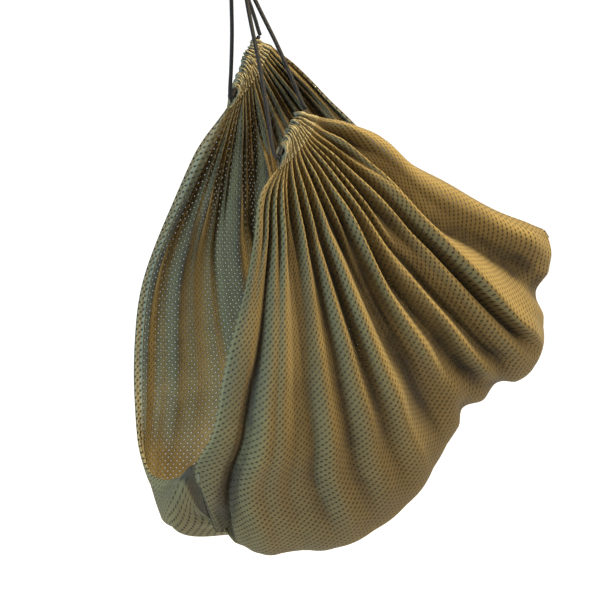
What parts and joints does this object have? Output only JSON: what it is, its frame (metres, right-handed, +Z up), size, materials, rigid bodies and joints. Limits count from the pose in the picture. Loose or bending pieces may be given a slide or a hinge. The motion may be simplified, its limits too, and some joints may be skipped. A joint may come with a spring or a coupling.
{
  "type": "weigh sling",
  "caption": "Folded mesh sling with an open mouth and a sewn tail, gathered at each end on a black drawcord whose knotted loops hang on a scale's hook.",
  "frame": {"origin": "the bearing point on the hook, under the tops of both cord eyes", "axes": "+X from the open mouth to the closed tail, -Y towards the front half, +Z up"},
  "size_m": [0.4235, 0.2139, 0.6441],
  "materials": {
    "mesh_cloth": "olive polyester knit with staggered slot holes, matt with a faint sheen on the folds",
    "hem_cloth": "the same olive knit doubled over, ruffled where it is drawn up",
    "sewing_thread": "olive polyester thread, slightly shiny",
    "drawcord": "black braided polyester cord, satin"
  },
  "bodies": {
    "sling": {"front_mesh": "mesh_cloth", "back_mesh": "mesh_cloth", "front_casing": "hem_cloth", "back_casing": "hem_cloth", "front_mouth_hem": "hem_cloth", "back_mouth_hem": "hem_cloth", "front_tail_hem": "hem_cloth", "back_tail_hem": "hem_cloth", "mouth_seam": "hem_cloth", "tail_seam": "hem_cloth", "mouth_bar_tack": "sewing_thread", "tail_bar_tack": "sewing_thread", "front_cord_gathered": "drawcord", "back_cord_gathered": "drawcord"},
    "front_loop": {"front_cord_mouth_leg": "drawcord", "front_cord_tail_leg": "drawcord", "front_cord_knot": "drawcord", "front_cord_eye": "drawcord"},
    "back_loop": {"back_cord_mouth_leg": "drawcord", "back_cord_tail_leg": "drawcord", "back_cord_knot": "drawcord", "back_cord_eye": "drawcord"}
  },
  "joints": [
    {"name": "front_loop_swing", "type": "hinge", "parent": "sling", "child": "front_loop", "pos_m": [0.0352, -0.0745, -0.18638], "axis": [0.616, 0.462, 0.638], "range_deg": [0, 75]},
    {"name": "back_loop_swing", "type": "hinge", "parent": "sling", "child": "back_loop", "pos_m": [0.0356, 0.0775, -0.15455], "axis": [-0.5043, -0.2782, -0.8175], "range_deg": [0, 75]}
  ]
}
